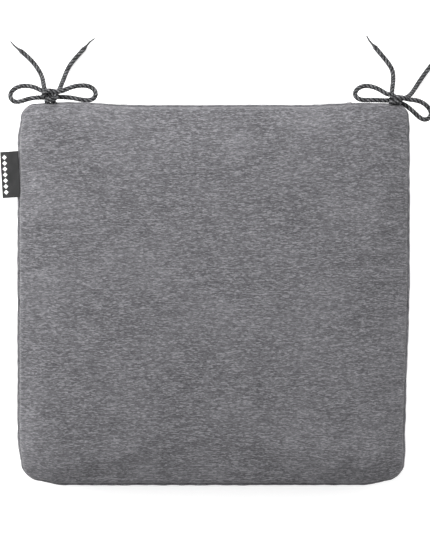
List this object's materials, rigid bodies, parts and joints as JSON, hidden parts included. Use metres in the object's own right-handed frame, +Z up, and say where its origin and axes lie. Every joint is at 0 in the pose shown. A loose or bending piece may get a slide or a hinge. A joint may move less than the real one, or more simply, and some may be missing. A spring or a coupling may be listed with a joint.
{
  "type": "chair seat pad",
  "caption": "Square boxed chair seat pad in grey melange cloth over foam, with a zipped rear band, a ribbon label and cord ties knotted in bows at the rear corners.",
  "frame": {"origin": "centre of the flat resting face of the underside", "axes": "+Z up through the top panel, -Y to the front edge of the seat, +Y to the rear edge with the ties, +X to the right"},
  "size_m": [0.455, 0.4597, 0.042],
  "materials": {
    "melange_cloth": "grey melange slub weave, matt",
    "foam": "open-cell cut foam",
    "fibre_wadding": "bonded white fibre",
    "zip_tape": "fine woven tape",
    "zip_coil": "smooth nylon coil",
    "zip_metal": "dark enamelled zinc",
    "label_ribbon": "woven satin ribbon",
    "tie_braid": "round polyester braid, flecked"
  },
  "bodies": {
    "pad": {"top_panel": "melange_cloth", "bottom_panel": "melange_cloth", "side_band": "melange_cloth", "rear_band_upper": "melange_cloth", "rear_band_lower": "melange_cloth", "foam_core": "foam", "wadding_top": "fibre_wadding", "zip_tape_upper": "zip_tape", "zip_tape_lower": "zip_tape", "zip_coil_upper": "zip_coil", "zip_coil_lower": "zip_coil", "zip_top_stop_upper": "zip_metal", "zip_top_stop_lower": "zip_metal", "zip_bottom_stop": "zip_metal", "tie_left_knot": "tie_braid", "tie_left_stem_a": "tie_braid", "tie_left_stem_b": "tie_braid", "tie_left_loop_a": "tie_braid", "tie_left_loop_b": "tie_braid", "tie_left_tail_a": "tie_braid", "tie_left_tail_b": "tie_braid", "tie_left_tip_a": "tie_braid", "tie_left_tip_b": "tie_braid", "tie_right_knot": "tie_braid", "tie_right_stem_a": "tie_braid", "tie_right_stem_b": "tie_braid", "tie_right_loop_a": "tie_braid", "tie_right_loop_b": "tie_braid", "tie_right_tail_a": "tie_braid", "tie_right_tail_b": "tie_braid", "tie_right_tip_a": "tie_braid", "tie_right_tip_b": "tie_braid"},
    "slider": {"zip_slider": "zip_metal"},
    "pull": {"zip_pull": "zip_metal"},
    "label": {"side_label": "label_ribbon"}
  },
  "joints": [
    {"name": "zip_slide", "type": "slide", "parent": "pad", "child": "slider", "axis": [-1, 0, 0], "range_m": [0, 0.28]},
    {"name": "pull_flip", "type": "hinge", "parent": "slider", "child": "pull", "pos_m": [0.1389, 0.1954, 0.016], "axis": [0, 0, -1], "range_deg": [0, 170]},
    {"name": "label_flex", "type": "hinge", "parent": "pad", "child": "label", "pos_m": [-0.1985, 0.123, 0.032], "axis": [0, 1, 0], "range_deg": [-55, 95], "stiffness_Nm_per_rad": 0.004}
  ]
}
